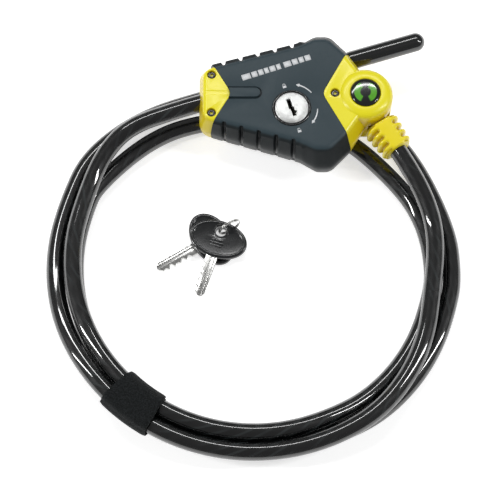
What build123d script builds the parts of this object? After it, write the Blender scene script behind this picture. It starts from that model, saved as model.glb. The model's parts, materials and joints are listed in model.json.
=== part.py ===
# Adjustable keyed cable lock lying on its back, in millimetres.
# Z is up from the floor, X runs along the lock body, the coil lies towards -Y.
from build123d import *
from math import cos, pi, radians, sin, tan
import os

os.makedirs("parts", exist_ok=True)

# Cable
cable_r = 5.0
cap_r = cable_r + 0.35
bore_r = cap_r + 0.25
bush_bore_r = cap_r + 0.15
bush_r = cable_r + 2.0
core_r = 3.6
tail_start = 48.0
tail_end = 87.0

# Lock body: where it lies, its levels and its walls
lock_x = 4.86
lock_y = 34.295
body_rear = 10.5
body_front = 38.5
band_low = 21.0
band_high = 27.0
parting = 24.5
wall = 2.2
groove_depth = 2.0
rear_inset = 4.0
corner_r = 7.0
cavity_left = -40.0
cavity_right = 20.4
cavity_low = body_rear + wall
cavity_high = body_front - 2.4
screw_foot = 14.0
head_seat = body_front - 3.3
head_r = 2.3
shank_r = 1.4

# Half outlines of the body, from the right round to the left
band_half = [(42, 14), (33, 28.8), (22, 40.3), (13.5, 40.3), (4, 34.5), (-51.5, 17.5)]
face_half = [(38, 12), (28.8, 25.2), (20.5, 33.4), (12.5, 33), (4, 28.8), (-49, 14.5)]

# Mechanism: turned on the body so that the cable crosses it on a slant
mech_turn = 17.3
mech_drop = 9.0
passage_v = 23.9
plug_r = 6.4
plug_head_r = 9.35
bezel_r = 10.8
bezel_bore_r = 9.65
shell_r = 9.4
pawl_half = 9.5
pawl_travel = 3.2
cam_small = 3.6
cam_z = 15.1

# Swivel at the right end
swivel_x = 41.0
swivel_turn = -57.0
housing_r = 15.5
housing_top = body_front + 1.3
badge_seat = housing_top - 1.2
badge_r = 8.3
pin_r = 3.5
eye_r = 9.0
eye_half = 3.0
slot_half = 4.1
boot_start = 16.3
boot_end = 34.0
lead_start = 35.0

# Coil of three strands
coil_x = lock_x - 21.2
coil_y = lock_y - 88.7
coil_r = 104.4
lane = cable_r + 0.3
strap_t = 1.6

lock = Plane(origin=(lock_x, lock_y, 0))
turn = (cos(radians(mech_turn)), sin(radians(mech_turn)), 0)
mech = Plane(origin=(lock_x, lock_y - mech_drop, 0), x_dir=turn, z_dir=(0, 0, 1))
passage_at = mech.from_local_coords((0, passage_v, parting))
passage = Plane(origin=passage_at, x_dir=(0, 0, 1), z_dir=turn)
out = (cos(radians(swivel_turn)), sin(radians(swivel_turn)), 0)
pivot = (lock_x + swivel_x, lock_y, parting)
swivel = Plane(origin=(pivot[0], pivot[1], 0), x_dir=out, z_dir=(0, 0, 1))
outward = Plane(origin=pivot, x_dir=(-out[1], out[0], 0), z_dir=out)
coil_axis = Axis((coil_x, coil_y, 0), (0, 0, 1))


def whole(half):
    """Closed outline, counter-clockwise, from its upper half."""
    return half + [(x, -y) for x, y in reversed(half)]


def inset(corners, amount):
    """Outline corners moved inward by the same amount on every side."""
    moved = []
    for i, at in enumerate(corners):
        before = Vector(*at) - Vector(*corners[i - 1])
        after = Vector(*corners[(i + 1) % len(corners)]) - Vector(*at)
        a = before.normalized()
        b = after.normalized()
        side_a = Vector(-a.Y, a.X)
        side_b = Vector(-b.Y, b.X)
        step = (side_a + side_b) * (amount / (1 + side_a.dot(side_b)))
        moved.append((at[0] + step.X, at[1] + step.Y))
    return moved


def hull(shrink):
    """Body shape from rear to face, drawn in all round by shrink."""
    levels = [
        (body_rear, inset(whole(band_half), rear_inset + shrink), rear_inset + shrink),
        (band_low, inset(whole(band_half), shrink), shrink),
        (band_high, inset(whole(band_half), shrink), shrink),
        (body_front, inset(whole(face_half), shrink), shrink),
    ]
    with BuildPart() as shape:
        for low, high in zip(levels, levels[1:]):
            for z, corners, drawn in (low, high):
                with BuildSketch(lock.offset(z)) as level:
                    with BuildLine():
                        Polyline(*corners, close=True)
                    make_face()
                    fillet(level.vertices(), radius=max(corner_r - drawn, 0.8))
            loft(ruled=True)
    return shape.part


def block(plane, low, high, u_low, u_high, v_low, v_high):
    """Box on a plane between two levels and two sets of limits."""
    with BuildPart() as shape:
        with BuildSketch(plane.offset(low)):
            with Locations(((u_low + u_high) / 2, (v_low + v_high) / 2)):
                Rectangle(u_high - u_low, v_high - v_low)
        extrude(amount=high - low)
    return shape.part


def rod(plane, low, high, radius, at=(0, 0)):
    """Round bar on a plane between two levels."""
    with BuildPart() as shape:
        with BuildSketch(plane.offset(low)):
            with Locations(at):
                Circle(radius)
        extrude(amount=high - low)
    return shape.part


def prism(corners, low, high, tip, tip_r):
    """Outline on the lock plane with one rounded tip, extruded."""
    with BuildPart() as shape:
        with BuildSketch(lock.offset(low)) as outline:
            with BuildLine():
                Polyline(*corners, close=True)
            make_face()
            fillet(outline.vertices().sort_by(Axis.X)[tip], radius=tip_r)
        extrude(amount=high - low)
    return shape.part


def cord_radii(points):
    """Bend radius at each inner point, from the run free for it on each side."""
    radii = []
    last = len(points) - 2
    for i in range(1, last + 1):
        a = Vector(*points[i]) - Vector(*points[i - 1])
        b = Vector(*points[i + 1]) - Vector(*points[i])
        free_a = a.length * (0.9 if i == 1 else 0.45)
        free_b = b.length * (0.9 if i == last else 0.45)
        half = radians(a.get_angle(b)) / 2
        radii.append(min(free_a, free_b) / tan(half))
    return radii


def coil_piece(strands, start, arc):
    """Arc of the coil: the outer shape of its three strands."""
    flat = Plane(
        origin=(coil_x, coil_y, 0),
        x_dir=(cos(radians(start)), sin(radians(start)), 0),
        z_dir=(sin(radians(start)), -cos(radians(start)), 0),
    )
    with BuildPart() as shape:
        with BuildSketch(flat):
            with BuildLine():
                Polyline(*[(coil_r + x, z) for x, z in strands], close=True)
            make_face()
            offset(amount=cable_r, kind=Kind.ARC)
        revolve(axis=coil_axis, revolution_arc=arc)
    return shape.part


# Shapes shared by several pieces
body_core = hull(0)
grip_core = hull(groove_depth)
cavity = hull(groove_depth + wall) & block(
    lock, cavity_low, cavity_high, cavity_left, cavity_right, -50, 50
)
left_end = [(-33.5, 0), (-46.5, 22), (-60, 30), (-80, 30), (-80, -30), (-60, -30), (-46.5, -22)]
left_zone = prism(left_end, 5, 45, -1, 6)
right_end = [(17.2, 0), (30.8, -24.5), (34.5, -31.5), (80, -31.5), (80, 31.5), (34.5, 31.5), (30.8, 24.5)]
right_zone = prism(right_end, 5, 45, 0, 6)
lower_half = block(lock, 0, parting, -80, 80, -60, 60)
upper_half = block(lock, parting, 60, -80, 80, -60, 60)
through_bore = rod(passage, -75, 75, bore_r)
bush_seats = rod(passage, -44, -37, bush_r) + rod(passage, 30, 37, bush_r)
with BuildPart() as grip_cuts:
    with BuildSketch(lock.offset(5)):
        for step in range(5):
            with Locations((0.8 - 9.6 * step, 32), (0.8 - 9.6 * step, -32)):
                Rectangle(2, 36)
    extrude(amount=body_front - 7)
    add(grip_core, mode=Mode.SUBTRACT)
grips = grip_cuts.part

# Front and rear cover, the dark middle of the body
with BuildPart() as front_cover:
    add(body_core & upper_half)
    add(grips, mode=Mode.SUBTRACT)
    with BuildSketch(lock.offset(body_front - 0.8)):
        with Locations((-30, 0.3)):
            SlotOverall(27, 7.4)
    extrude(amount=2, mode=Mode.SUBTRACT)
    with BuildSketch(lock.offset(body_front - 2)):
        with Locations((-30.2, 0.3)):
            SlotOverall(25.4, 5.6)
    extrude(amount=2.8)
    add(left_zone, mode=Mode.SUBTRACT)
    add(right_zone, mode=Mode.SUBTRACT)
    add(cavity, mode=Mode.SUBTRACT)
    add(through_bore, mode=Mode.SUBTRACT)
    add(bush_seats, mode=Mode.SUBTRACT)
    with BuildSketch(mech.offset(cavity_high - 1)):
        Circle(bezel_r)
    extrude(amount=6, mode=Mode.SUBTRACT)
front_cover.part.label = "front_cover"
export_step(front_cover.part, "parts/front_cover.step")

with BuildPart() as rear_cover:
    add(body_core & lower_half)
    add(grips, mode=Mode.SUBTRACT)
    add(left_zone, mode=Mode.SUBTRACT)
    add(right_zone, mode=Mode.SUBTRACT)
    add(cavity, mode=Mode.SUBTRACT)
    add(through_bore, mode=Mode.SUBTRACT)
    add(bush_seats, mode=Mode.SUBTRACT)
rear_cover.part.label = "rear_cover"
export_step(rear_cover.part, "parts/rear_cover.step")

# Yellow left end, split at the parting level and held by two screws
cap_spots = [(-44.5, 11.5), (-44.5, -11.5)]
with BuildPart() as end_cap_screws:
    with BuildSketch(lock.offset(screw_foot)):
        with Locations(*cap_spots):
            Circle(shank_r)
    extrude(amount=head_seat - screw_foot)
    with BuildSketch(lock.offset(head_seat)):
        with Locations(*cap_spots):
            Circle(head_r)
    extrude(amount=1.7)
end_cap_screws.part.label = "end_cap_screws"
export_step(end_cap_screws.part, "parts/end_cap_screws.step")

with BuildPart() as end_cap_front:
    add(body_core & left_zone & upper_half)
    add(cavity, mode=Mode.SUBTRACT)
    add(through_bore, mode=Mode.SUBTRACT)
    add(bush_seats, mode=Mode.SUBTRACT)
    with BuildSketch(lock.offset(head_seat)):
        with Locations(*cap_spots):
            Circle(head_r)
    extrude(amount=5, mode=Mode.SUBTRACT)
    add(end_cap_screws.part, mode=Mode.SUBTRACT)
end_cap_front.part.label = "end_cap_front"
export_step(end_cap_front.part, "parts/end_cap_front.step")

with BuildPart() as end_cap_rear:
    add(body_core & left_zone & lower_half)
    add(cavity, mode=Mode.SUBTRACT)
    add(through_bore, mode=Mode.SUBTRACT)
    add(bush_seats, mode=Mode.SUBTRACT)
    add(end_cap_screws.part, mode=Mode.SUBTRACT)
end_cap_rear.part.label = "end_cap_rear"
export_step(end_cap_rear.part, "parts/end_cap_rear.step")

# Yellow right end with the round swivel housing
bracket_spot = (24.2, 0.5)
with BuildPart() as bracket_screw:
    with BuildSketch(lock.offset(screw_foot)):
        with Locations(bracket_spot):
            Circle(shank_r)
    extrude(amount=head_seat - screw_foot)
    with BuildSketch(lock.offset(head_seat)):
        with Locations(bracket_spot):
            Circle(head_r)
    extrude(amount=1.7)
bracket_screw.part.label = "bracket_screw"
export_step(bracket_screw.part, "parts/bracket_screw.step")

with BuildPart() as housing:
    with BuildSketch(swivel.offset(body_rear)):
        Circle(housing_r)
    extrude(amount=housing_top - body_rear)
    fillet(housing.edges().sort_by(Axis.Z)[-1], radius=3.4)
    chamfer(housing.edges().sort_by(Axis.Z)[0], length=2)

# The slot lets the terminal swing between its two stops
with BuildPart() as swing_room:
    with BuildSketch(swivel.offset(parting - slot_half)):
        Circle(eye_r + 0.6)
        for angle in (-6.5, 2.5, 13.5):
            with Locations(Location((0, 0, 0), (0, 0, angle)) * Pos(15, 0)):
                Rectangle(30, 9.8)
    extrude(amount=2 * slot_half)

with BuildPart() as swivel_pin:
    with BuildSketch(swivel.offset(13)):
        Circle(pin_r)
    extrude(amount=badge_seat - 2.1 - 13)
swivel_pin.part.label = "swivel_pin"
export_step(swivel_pin.part, "parts/swivel_pin.step")

bracket_whole = (body_core & right_zone) + housing.part
with BuildPart() as bracket_front:
    add(bracket_whole & upper_half)
    add(cavity, mode=Mode.SUBTRACT)
    add(through_bore, mode=Mode.SUBTRACT)
    add(bush_seats, mode=Mode.SUBTRACT)
    add(swing_room.part, mode=Mode.SUBTRACT)
    add(swivel_pin.part, mode=Mode.SUBTRACT)
    with BuildSketch(lock.offset(head_seat)):
        with Locations(bracket_spot):
            Circle(head_r)
    extrude(amount=5, mode=Mode.SUBTRACT)
    add(bracket_screw.part, mode=Mode.SUBTRACT)
    with BuildSketch(swivel.offset(badge_seat)):
        Circle(badge_r)
    extrude(amount=2, mode=Mode.SUBTRACT)
bracket_front.part.label = "bracket_front"
export_step(bracket_front.part, "parts/bracket_front.step")

with BuildPart() as bracket_rear:
    add(bracket_whole & lower_half)
    add(cavity, mode=Mode.SUBTRACT)
    add(through_bore, mode=Mode.SUBTRACT)
    add(bush_seats, mode=Mode.SUBTRACT)
    add(swing_room.part, mode=Mode.SUBTRACT)
    add(swivel_pin.part, mode=Mode.SUBTRACT)
    add(bracket_screw.part, mode=Mode.SUBTRACT)
bracket_rear.part.label = "bracket_rear"
export_step(bracket_rear.part, "parts/bracket_rear.step")

with BuildPart() as badge:
    with BuildSketch(swivel.offset(badge_seat)):
        Circle(badge_r)
    extrude(amount=1.8)
    fillet(badge.edges().sort_by(Axis.Z)[-1], radius=0.9)
badge.part.label = "badge"
export_step(badge.part, "parts/badge.step")

with BuildPart() as swivel_washers:
    with BuildSketch(swivel.offset(parting - slot_half)):
        Circle(8)
        Circle(pin_r, mode=Mode.SUBTRACT)
    extrude(amount=0.8)
    with BuildSketch(swivel.offset(parting + slot_half - 0.8)):
        Circle(8)
        Circle(pin_r, mode=Mode.SUBTRACT)
    extrude(amount=0.8)
swivel_washers.part.label = "swivel_washers"
export_step(swivel_washers.part, "parts/swivel_washers.step")

# Guide bushes at the two mouths of the passage
with BuildPart() as entry_bush:
    with BuildSketch(passage.offset(-44)):
        Circle(bush_r)
        Circle(bush_bore_r, mode=Mode.SUBTRACT)
    extrude(amount=7)
entry_bush.part.label = "entry_bush"
export_step(entry_bush.part, "parts/entry_bush.step")

with BuildPart() as exit_bush:
    with BuildSketch(passage.offset(30)):
        Circle(bush_r)
        Circle(bush_bore_r, mode=Mode.SUBTRACT)
    extrude(amount=7)
exit_bush.part.label = "exit_bush"
export_step(exit_bush.part, "parts/exit_bush.step")

# Cylinder: shell with its pin block, plug, pins, clip and cam
shell_low = 18.8
pin_levels = [33, 30, 27, 24, 21]
with BuildPart() as pin_holes:
    for z in pin_levels:
        with BuildSketch(Plane(mech.from_local_coords((0, -2.6, z)), x_dir=turn, z_dir=(turn[1], -turn[0], 0))):
            Circle(1.1)
        extrude(amount=11.4)

with BuildPart() as cylinder_shell:
    with BuildSketch(mech.offset(shell_low)):
        Circle(shell_r)
    extrude(amount=cavity_high - shell_low)
    add(block(mech, shell_low, 35, -3.5, 3.5, -15, 0))
    with BuildSketch(mech.offset(shell_low)):
        Circle(plug_r + 0.05)
    extrude(amount=30, mode=Mode.SUBTRACT)
    add(pin_holes.part, mode=Mode.SUBTRACT)
cylinder_shell.part.label = "cylinder_shell"
export_step(cylinder_shell.part, "parts/cylinder_shell.step")

with BuildPart() as spring_cover:
    add(block(mech, shell_low, 35, -3.5, 3.5, -15.6, -15))
spring_cover.part.label = "spring_cover"
export_step(spring_cover.part, "parts/spring_cover.step")

with BuildPart() as driver_pins:
    for z in pin_levels:
        with BuildSketch(Plane(mech.from_local_coords((0, -6.5, z)), x_dir=turn, z_dir=(turn[1], -turn[0], 0))):
            Circle(1.1)
        extrude(amount=3)
driver_pins.part.label = "driver_pins"
export_step(driver_pins.part, "parts/driver_pins.step")

with BuildPart() as pin_springs:
    for z in pin_levels:
        with BuildSketch(Plane(mech.from_local_coords((0, -9.5, z)), x_dir=turn, z_dir=(turn[1], -turn[0], 0))):
            Circle(1.0)
            Circle(0.6, mode=Mode.SUBTRACT)
        extrude(amount=4.5)
pin_springs.part.label = "pin_springs"
export_step(pin_springs.part, "parts/pin_springs.step")

with BuildPart() as keyway_plug:
    with BuildSketch(mech.offset(cavity_high + 0.3)):
        Circle(plug_head_r)
    extrude(amount=2.7)
    chamfer(keyway_plug.edges().sort_by(Axis.Z)[-1], length=0.4)
    with BuildSketch(mech.offset(18.0)):
        Circle(plug_r)
    extrude(amount=cavity_high + 0.3 - 18.0)
    with BuildSketch(mech.offset(14.8)):
        Circle(3)
    extrude(amount=3.2)
    with BuildSketch(mech.offset(19)):
        with Locations((-0.45, 2.6)):
            Rectangle(1.9, 5.2)
        with Locations((0.45, -2.4)):
            Rectangle(1.9, 5.0)
    extrude(amount=25, mode=Mode.SUBTRACT)
    for z in pin_levels:
        with BuildSketch(Plane(mech.from_local_coords((0, -2.6, z)), x_dir=turn, z_dir=(turn[1], -turn[0], 0))):
            Circle(1.1)
        extrude(amount=5, mode=Mode.SUBTRACT)
keyway_plug.part.label = "keyway_plug"
export_step(keyway_plug.part, "parts/keyway_plug.step")

with BuildPart() as key_pins:
    for z in pin_levels:
        with BuildSketch(Plane(mech.from_local_coords((0, -4.9, z)), x_dir=turn, z_dir=(turn[1], -turn[0], 0))):
            Circle(1.1)
        extrude(amount=1.4)
key_pins.part.label = "key_pins"
export_step(key_pins.part, "parts/key_pins.step")

with BuildPart() as plug_clip:
    with BuildSketch(mech.offset(18.0)):
        Circle(8)
        Circle(plug_r, mode=Mode.SUBTRACT)
    extrude(amount=0.5)
plug_clip.part.label = "plug_clip"
export_step(plug_clip.part, "parts/plug_clip.step")


def cam_point(angle):
    """Point on the cam: its radius grows over half a turn, then shrinks."""
    share = angle / 180 if angle <= 180 else (360 - angle) / 180
    radius = cam_small + pawl_travel * share
    return (radius * sin(radians(angle)), -radius * cos(radians(angle)))


with BuildPart() as lock_cam:
    with BuildSketch(mech.offset(cam_z)):
        with BuildLine():
            Spline(*[cam_point(a) for a in range(0, 181, 30)])
            Spline(*[cam_point(a) for a in range(180, 361, 30)])
        make_face()
        Circle(3, mode=Mode.SUBTRACT)
    extrude(amount=2.3)
lock_cam.part.label = "lock_cam"
export_step(lock_cam.part, "parts/lock_cam.step")

with BuildPart() as cylinder_bezel:
    with BuildSketch(mech.offset(cavity_high)):
        Circle(bezel_r)
        Circle(bezel_bore_r, mode=Mode.SUBTRACT)
    extrude(amount=2.8)
cylinder_bezel.part.label = "cylinder_bezel"
export_step(cylinder_bezel.part, "parts/cylinder_bezel.step")

# Pawl: a shank round the cam and a toothed head that bites the cable
with BuildPart() as locking_pawl:
    add(block(mech, 14.8, 17.6, -pawl_half, pawl_half, -8.5, 20.5))
    add(block(mech, 14.8, 28, -pawl_half, pawl_half, 12.9, 20.5))
    add(block(mech, 14, 18, -7.2, 7.2, -4.1, 7.4), mode=Mode.SUBTRACT)
    add(rod(passage, -20, 20, cable_r + 0.3), mode=Mode.SUBTRACT)
    for tooth in range(-4, 5):
        add(rod(passage, 2 * tooth - 0.5, 2 * tooth + 0.5, cable_r + 1.0), mode=Mode.SUBTRACT)
locking_pawl.part.label = "locking_pawl"
export_step(locking_pawl.part, "parts/locking_pawl.step")

with BuildPart() as pawl_springs:
    for u in (-5, 5):
        with BuildSketch(Plane(mech.from_local_coords((u, -8.5, 16.2)), x_dir=turn, z_dir=(turn[1], -turn[0], 0))):
            Circle(1.2)
            Circle(0.7, mode=Mode.SUBTRACT)
        extrude(amount=6.5)
pawl_springs.part.label = "pawl_springs"
export_step(pawl_springs.part, "parts/pawl_springs.step")

with BuildPart() as anvil:
    add(block(mech, 19.5, 29.5, -9, 9, 27, 31.5))
    add(through_bore, mode=Mode.SUBTRACT)
anvil.part.label = "anvil"
export_step(anvil.part, "parts/anvil.step")

# Die-cast chassis that carries the cylinder, the pawl and the passage
plate_top = 14.5
plate_spots = [(-17, 0), (-17, 26), (14, 0), (14, 28)]
with BuildPart() as plate_screws:
    with BuildSketch(mech.offset(plate_top - 1)):
        with Locations(*plate_spots):
            Circle(1.2)
    extrude(amount=5)
    with BuildSketch(mech.offset(cavity_low)):
        with Locations(*plate_spots):
            Circle(2.2)
    extrude(amount=1.1)
plate_screws.part.label = "plate_screws"
export_step(plate_screws.part, "parts/plate_screws.step")

chassis_room = hull(groove_depth + wall + 0.2)
with BuildPart() as chassis:
    add(block(mech, plate_top, cavity_high, -22, 18, -8, 33))
    add(block(mech, plate_top, cavity_high, -9.9, 9.9, -17, -8))
    add(chassis_room, mode=Mode.INTERSECT)
    add(through_bore, mode=Mode.SUBTRACT)
    add(rod(mech, 18, 40, shell_r), mode=Mode.SUBTRACT)
    add(block(mech, shell_low, 35, -3.5, 3.5, -15.6, 0), mode=Mode.SUBTRACT)
    add(block(mech, plate_top, 18, -9.8, 9.8, -12, 21.5), mode=Mode.SUBTRACT)
    add(block(mech, plate_top, 28.4, -9.8, 9.8, 9.2, 21.5), mode=Mode.SUBTRACT)
    add(anvil.part, mode=Mode.SUBTRACT)
    add(plate_screws.part, mode=Mode.SUBTRACT)
    for u in (-5, 5):
        with BuildSketch(Plane(mech.from_local_coords((u, -10, 16.2)), x_dir=turn, z_dir=(turn[1], -turn[0], 0))):
            Circle(1.5)
        extrude(amount=5, mode=Mode.SUBTRACT)
chassis.part.label = "chassis"
export_step(chassis.part, "parts/chassis.step")

with BuildPart() as back_plate:
    add(block(mech, cavity_low, plate_top, -22, 18, -8, 33))
    add(block(mech, cavity_low, plate_top, -9.9, 9.9, -15, -8))
    add(chassis_room, mode=Mode.INTERSECT)
    add(plate_screws.part, mode=Mode.SUBTRACT)
back_plate.part.label = "back_plate"
export_step(back_plate.part, "parts/back_plate.step")

# Terminal crimped on the cable, with its ribbed boot
with BuildPart() as fixed_end:
    with BuildSketch(outward.offset(22)):
        Circle(cable_r)
    extrude(amount=boot_end - 22)
fixed_end.part.label = "fixed_end"
export_step(fixed_end.part, "parts/fixed_end.step")

with BuildPart() as cable_terminal:
    with BuildSketch(swivel.offset(parting - eye_half)):
        Circle(eye_r)
        with Locations((13, 0)):
            Rectangle(14, 9)
    extrude(amount=2 * eye_half)
    with BuildSketch(outward.offset(19)):
        Circle(cable_r + 1.75)
    extrude(amount=13)
    with BuildSketch(swivel.offset(parting - 5)):
        Circle(pin_r + 0.06)
    extrude(amount=10, mode=Mode.SUBTRACT)
    add(fixed_end.part, mode=Mode.SUBTRACT)
cable_terminal.part.label = "cable_terminal"
export_step(cable_terminal.part, "parts/cable_terminal.step")

with BuildPart() as boot:
    for along, wide, high in ((boot_start, 17, 16), (boot_end + 1, 14, 14)):
        with BuildSketch(outward.offset(along)):
            RectangleRounded(wide, high, 3)
    loft()
    for rib in range(4):
        with BuildSketch(outward.offset(boot_start + 0.4 + 4.6 * rib)) as lobe:
            RectangleRounded(20.6 - 1.1 * rib, 17.6 - 0.8 * rib, 4)
        extrude(amount=3.4)
    add(rod(swivel, 0, 60, boot_end), mode=Mode.INTERSECT)
    add(rod(swivel, 0, 60, housing_r + 0.6), mode=Mode.SUBTRACT)
    add(cable_terminal.part, mode=Mode.SUBTRACT)
    add(fixed_end.part, mode=Mode.SUBTRACT)
boot.part.label = "boot"
export_step(boot.part, "parts/boot.step")

# Cable: coil arcs, the strands that pass under the lock, and the free end
side_strands = [(lane, cable_r), (-lane, cable_r), (-lane + 0.5, 3 * cable_r)]
low_strands = [(0, cable_r + strap_t), (lane, 3 * cable_r + 0.5), (-lane, 3 * cable_r + 0.5)]
with BuildPart() as coil_right:
    add(coil_piece(side_strands, -45, 33))
coil_right.part.label = "coil_right"
export_step(coil_right.part, "parts/coil_right.step")

with BuildPart() as coil_front:
    add(coil_piece(low_strands, -140, 95))
coil_front.part.label = "coil_front"
export_step(coil_front.part, "parts/coil_front.step")

with BuildPart() as coil_left:
    add(coil_piece(side_strands, 160, 60))
coil_left.part.label = "coil_left"
export_step(coil_left.part, "parts/coil_left.step")


def on_coil(angle, lateral, z):
    """Point on the coil at an angle, beside its mean circle."""
    radius = coil_r + lateral
    return (coil_x + radius * cos(radians(angle)), coil_y + radius * sin(radians(angle)), z)


def at_lock(x, y, z):
    """Point given from the lock's own origin."""
    return (lock_x + x, lock_y + y, z)


outer_run = [
    on_coil(160, lane, cable_r),
    at_lock(-114.5, -24.3, cable_r),
    at_lock(-85.6, -0.9, cable_r),
    at_lock(-13.0, 21.3, cable_r),
    at_lock(32.4, 11.7, cable_r),
    at_lock(66.0, -19.7, cable_r),
    at_lock(87.4, -67.7, cable_r),
    at_lock(89.4, -96.1, cable_r),
    on_coil(-12, lane, cable_r),
]
inner_run = [
    on_coil(160, -lane, cable_r),
    at_lock(-109.7, -42.1, cable_r),
    at_lock(-83.0, -16.3, cable_r),
    at_lock(-56.0, -3.7, cable_r),
    at_lock(-6.0, 1.5, cable_r),
    at_lock(30.4, -11.0, cable_r),
    at_lock(62.9, -43.5, cable_r),
    at_lock(75.4, -66.9, cable_r),
    at_lock(79.1, -93.5, cable_r),
    on_coil(-12, -lane, cable_r),
]
lead_from = outward.from_local_coords((0, 0, lead_start))
lead_run = [
    (lead_from.X, lead_from.Y, parting),
    at_lock(85.0, -67.8, parting - 4.8),
    on_coil(-12, 0.5 - lane, 3 * cable_r),
]
mouth = passage.from_local_coords((0, 0, -46.5))
rise_run = [
    on_coil(160, 0.5 - lane, 3 * cable_r),
    at_lock(-100.5, -15.2, parting - 5.3),
    (mouth.X, mouth.Y, parting),
]

with BuildPart() as cable_under_outer:
    with BuildLine() as outer_path:
        FilletPolyline(*outer_run, radius=cord_radii(outer_run))
    with BuildSketch(Plane(origin=outer_path.line @ 0, z_dir=outer_path.line % 0)):
        Circle(cable_r)
    sweep(path=outer_path.line)
cable_under_outer.part.label = "cable_under_outer"
export_step(cable_under_outer.part, "parts/cable_under_outer.step")

with BuildPart() as cable_under_inner:
    with BuildLine() as inner_path:
        FilletPolyline(*inner_run, radius=cord_radii(inner_run))
    with BuildSketch(Plane(origin=inner_path.line @ 0, z_dir=inner_path.line % 0)):
        Circle(cable_r)
    sweep(path=inner_path.line)
cable_under_inner.part.label = "cable_under_inner"
export_step(cable_under_inner.part, "parts/cable_under_inner.step")

with BuildPart() as cable_lead:
    with BuildLine() as lead_path:
        FilletPolyline(*lead_run, radius=cord_radii(lead_run))
    with BuildSketch(Plane(origin=lead_path.line @ 0, z_dir=lead_path.line % 0)):
        Circle(cable_r)
    sweep(path=lead_path.line)
cable_lead.part.label = "cable_lead"
export_step(cable_lead.part, "parts/cable_lead.step")

with BuildPart() as cable_rise:
    with BuildLine() as rise_path:
        FilletPolyline(*rise_run, radius=cord_radii(rise_run))
    with BuildSketch(Plane(origin=rise_path.line @ 0, z_dir=rise_path.line % 0)):
        Circle(cable_r)
    sweep(path=rise_path.line)
cable_rise.part.label = "cable_rise"
export_step(cable_rise.part, "parts/cable_rise.step")

for name, run, path, tube in (
    ("cable_under_outer", outer_run, outer_path, cable_under_outer.part),
    ("cable_under_inner", inner_run, inner_path, cable_under_inner.part),
    ("cable_lead", lead_run, lead_path, cable_lead.part),
    ("cable_rise", rise_run, rise_path, cable_rise.part),
):
    length = sum(edge.length for edge in path.line.edges())
    share = tube.volume / (pi * cable_r**2 * length)
    print(name, "radii", [round(r) for r in cord_radii(run)])
    print(name, "length", round(length), "volume against section x length", round(share, 4))

with BuildPart() as cable_through:
    with BuildSketch(passage.offset(-46.5)):
        Circle(cable_r)
    extrude(amount=46.5 + tail_start)
cable_through.part.label = "cable_through"
export_step(cable_through.part, "parts/cable_through.step")

with BuildPart() as cable_core_end:
    with BuildSketch(passage.offset(tail_start)):
        Circle(core_r)
    extrude(amount=tail_end - tail_start - 4)
cable_core_end.part.label = "cable_core_end"
export_step(cable_core_end.part, "parts/cable_core_end.step")

with BuildPart() as cable_end_cap:
    with BuildSketch(passage.offset(tail_start)):
        Circle(cap_r)
    extrude(amount=tail_end - tail_start)
    fillet(cable_end_cap.edges().sort_by(Axis.X)[-1], radius=cap_r - 0.3)
    add(cable_core_end.part, mode=Mode.SUBTRACT)
cable_end_cap.part.label = "cable_end_cap"
export_step(cable_end_cap.part, "parts/cable_end_cap.step")

# Hook-and-loop strap round the three strands
strap_at = -135.0
strap_arc = 15.0
strap_plane = Plane(
    origin=(coil_x, coil_y, 0),
    x_dir=(cos(radians(strap_at)), sin(radians(strap_at)), 0),
    z_dir=(sin(radians(strap_at)), -cos(radians(strap_at)), 0),
)
with BuildPart() as strap:
    with BuildSketch(strap_plane):
        with BuildLine():
            Polyline(*[(coil_r + x, z) for x, z in low_strands], close=True)
        make_face()
        offset(amount=cable_r + strap_t, kind=Kind.ARC)
    revolve(axis=coil_axis, revolution_arc=strap_arc)
    add(coil_front.part, mode=Mode.SUBTRACT)
strap.part.label = "strap"
export_step(strap.part, "parts/strap.step")

# Two keys on a split ring, lying inside the coil
hole_x = lock_x - 39.2
hole_y = lock_y - 70.2
hole_r = 3.2
ring_r = 6.5
wire_r = 0.75
key_long = 33.0
key_short = 22.0
for_key_a = Plane(origin=(hole_x, hole_y, 0), x_dir=(-0.854, -0.519, 0), z_dir=(0, 0, 1))
for_key_b = Plane(origin=(hole_x, hole_y, 0), x_dir=(-0.321, -0.947, 0), z_dir=(0, 0, 1))

with BuildPart() as key_a_blade:
    with BuildSketch(for_key_a.offset(2.4)):
        with Locations((24.4, 0)):
            Rectangle(34, 6.6)
        with Locations((40.4, 3.3), (40.4, -3.3)):
            Rectangle(2.6, 1.6, mode=Mode.SUBTRACT)
        for notch in range(4):
            with Locations((22.5 + 4 * notch, 3.3)):
                Rectangle(1.8, 1.6, mode=Mode.SUBTRACT)
    extrude(amount=2)
key_a_blade.part.label = "key_a_blade"
export_step(key_a_blade.part, "parts/key_a_blade.step")

with BuildPart() as key_a_head:
    with BuildSketch(for_key_a.offset(1.9)):
        with Locations((6.4, 0)):
            Ellipse(key_short / 2, key_long / 2)
        Circle(hole_r, mode=Mode.SUBTRACT)
    extrude(amount=3)
    add(key_a_blade.part, mode=Mode.SUBTRACT)
key_a_head.part.label = "key_a_head"
export_step(key_a_head.part, "parts/key_a_head.step")

with BuildPart() as key_b_blade:
    with BuildSketch(for_key_b.offset(5.7)):
        with Locations((23, 0)):
            Rectangle(34, 6.6)
        with Locations((39, 3.3), (39, -3.3)):
            Rectangle(2.6, 1.6, mode=Mode.SUBTRACT)
        for notch in range(4):
            with Locations((21.1 + 4 * notch, 3.3)):
                Rectangle(1.8, 1.6, mode=Mode.SUBTRACT)
    extrude(amount=2)
key_b_blade.part.label = "key_b_blade"
export_step(key_b_blade.part, "parts/key_b_blade.step")

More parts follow.
